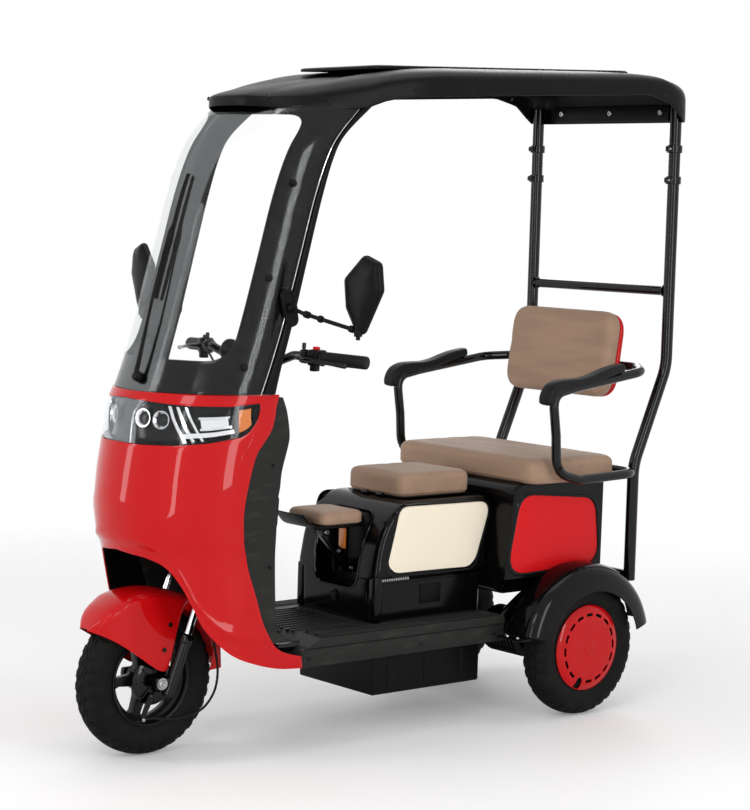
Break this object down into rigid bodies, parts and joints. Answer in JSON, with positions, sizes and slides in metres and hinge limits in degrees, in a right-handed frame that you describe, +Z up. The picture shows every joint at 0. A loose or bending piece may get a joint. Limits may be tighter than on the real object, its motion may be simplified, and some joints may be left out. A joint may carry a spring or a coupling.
{
  "type": "electric passenger tricycle",
  "caption": "Electric tricycle with a steered front wheel, wraparound apron, windshield, hard canopy, saddle, folding jump seat and passenger bench.",
  "frame": {"origin": "on the ground under the middle of the vehicle's box", "axes": "-Y to the front, +X to the vehicle's left side, +Z up"},
  "size_m": [1.0138, 1.7563, 1.7349],
  "materials": {
    "red_gloss": "high gloss red paint with a fine flake",
    "panel_red": "smooth red panel",
    "panel_cream": "smooth cream panel",
    "gloss_black": "gloss black moulding",
    "satin_black": "satin black moulding",
    "deck_grey": "matt dark grey moulding",
    "black_steel": "gloss black painted steel",
    "rim_black": "satin black painted wheel",
    "tyre_black": "road tyre",
    "grip_rubber": "matt black rubber",
    "tan_leather": "tan imitation leather, soft sheen",
    "clear_sheet": "clear polished sheet",
    "lamp_red": "red lamp lens"
  },
  "bodies": {
    "body": {"front_apron": "red_gloss", "headlamp_lens": "clear_sheet", "headlamp_housing": "gloss_black", "leg_shield": "deck_grey", "windshield": "clear_sheet", "windshield_frame": "gloss_black", "wiper": "satin_black", "canopy_shell": "satin_black", "canopy_top_plate": "satin_black", "rear_frame": "black_steel", "armrest_frame": "black_steel", "armrest_pad_left": "grip_rubber", "armrest_pad_right": "grip_rubber", "floor_deck": "deck_grey", "battery_box": "satin_black", "main_frame": "black_steel", "seat_box": "gloss_black", "side_panel_front_left": "panel_cream", "side_panel_front_right": "panel_cream", "rear_box": "gloss_black", "side_panel_rear_left": "panel_red", "side_panel_rear_right": "panel_red", "rear_fender_left": "gloss_black", "rear_fender_right": "gloss_black", "rear_axle": "black_steel", "passenger_cushion": "tan_leather", "backrest_cushion": "tan_leather", "backrest_shell": "red_gloss", "jump_seat_arm": "black_steel", "mirror_left": "satin_black", "mirror_right": "satin_black", "tail_lamp_left": "lamp_red", "tail_lamp_right": "lamp_red"},
    "steering": {"steering_fork": "black_steel", "brake_cable": "grip_rubber", "handlebar": "black_steel", "grip_left": "grip_rubber", "grip_right": "grip_rubber", "instrument_pod": "satin_black", "front_fender": "red_gloss"},
    "front_wheel": {"front_tyre": "tyre_black", "front_rim": "rim_black"},
    "rear_wheel_left": {"rear_tyre_left": "tyre_black", "rear_rim_left": "rim_black", "hubcap_left": "red_gloss"},
    "rear_wheel_right": {"rear_tyre_right": "tyre_black", "rear_rim_right": "rim_black", "hubcap_right": "red_gloss"},
    "rider_seat": {"rider_seat_pan": "satin_black", "rider_seat_cushion": "tan_leather"},
    "jump_seat": {"jump_seat_pan": "satin_black", "jump_seat_cushion": "tan_leather"}
  },
  "joints": [
    {"name": "steering_turn", "type": "hinge", "parent": "body", "child": "steering", "pos_m": [0, -0.647, 0.183], "axis": [0, 0.3584, 0.9336], "range_deg": [-20, 20]},
    {"name": "front_wheel_spin", "type": "hinge", "parent": "steering", "child": "front_wheel", "pos_m": [0, -0.68, 0.183], "axis": [1, 0, 0], "continuous": true},
    {"name": "rear_wheel_left_spin", "type": "hinge", "parent": "body", "child": "rear_wheel_left", "pos_m": [0.27, 0.537, 0.183], "axis": [1, 0, 0], "continuous": true},
    {"name": "rear_wheel_right_spin", "type": "hinge", "parent": "body", "child": "rear_wheel_right", "pos_m": [-0.27, 0.537, 0.183], "axis": [1, 0, 0], "continuous": true},
    {"name": "rider_seat_lift", "type": "hinge", "parent": "body", "child": "rider_seat", "pos_m": [0, 0.034, 0.5883], "axis": [1, 0, 0], "range_deg": [0, 70]},
    {"name": "jump_seat_fold", "type": "hinge", "parent": "body", "child": "jump_seat", "pos_m": [0, -0.138, 0.503], "axis": [1, 0, 0], "range_deg": [0, 85]}
  ]
}
